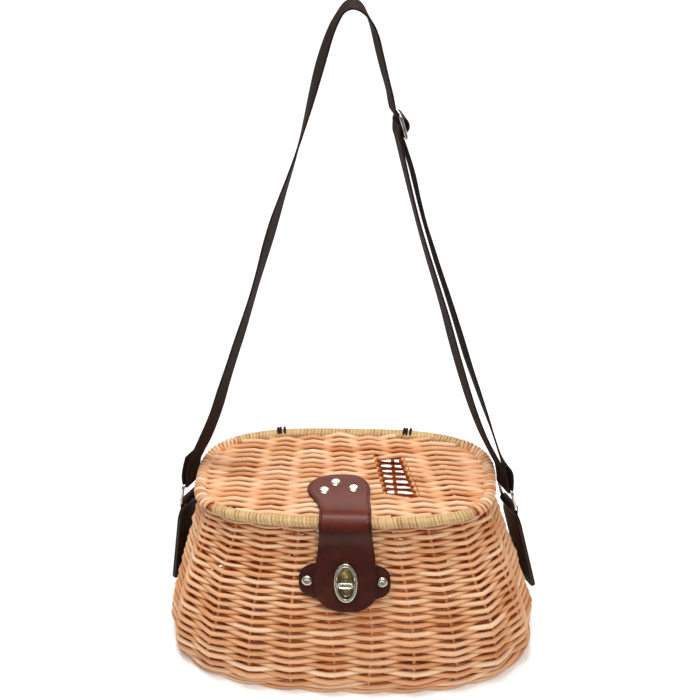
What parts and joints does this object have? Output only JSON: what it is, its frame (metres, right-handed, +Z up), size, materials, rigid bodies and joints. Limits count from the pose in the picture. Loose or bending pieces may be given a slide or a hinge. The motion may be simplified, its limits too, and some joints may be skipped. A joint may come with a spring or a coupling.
{
  "type": "fishing creel",
  "caption": "Woven willow fishing creel with a hinged lid, a fish slot, a leather closure with a turn lock, and a webbing shoulder strap held up by its top.",
  "frame": {"origin": "underside of the shoulder strap at its highest point, where a hook or hand holds it", "axes": "+Z up, -Y the front with the leather closure, +X to the right of one who looks at the front"},
  "size_m": [0.3592, 0.1716, 0.6341],
  "materials": {
    "willow": "peeled willow, satin",
    "pale_cane": "split cane, semi-gloss",
    "leather": "smooth, polished",
    "dark_leather": "smooth, dark",
    "nickel": "warm nickel plate",
    "webbing": "woven, dark brown"
  },
  "bodies": {
    "creel": {"basket_wall": "willow", "top_border": "willow", "foot_wale": "willow", "basket_base": "willow", "lid_panel": "willow", "lid_rim": "pale_cane", "closure_ears": "leather", "closure_flap": "leather", "hinge_loop_left": "dark_leather", "hinge_loop_right": "dark_leather", "side_tab_left": "dark_leather", "side_tab_right": "dark_leather", "lock_plate": "nickel", "lock_post": "nickel", "flap_rivet_1": "nickel", "flap_rivet_2": "nickel", "flap_rivet_3": "nickel", "ear_rivet_left": "nickel", "ear_rivet_right": "nickel", "ring_left": "nickel", "ring_right": "nickel", "tab_rivet_left_1": "nickel", "tab_rivet_left_2": "nickel", "tab_rivet_right_1": "nickel", "tab_rivet_right_2": "nickel", "strap_slider": "nickel", "shoulder_strap": "webbing"},
    "turn_knob": {"lock_knob": "nickel"}
  },
  "joints": [
    {"name": "knob_turn", "type": "hinge", "parent": "creel", "child": "turn_knob", "pos_m": [-0.0188, -0.09568, -0.49939], "axis": [0, -0.961, 0.2767], "range_deg": [0, 90]}
  ]
}
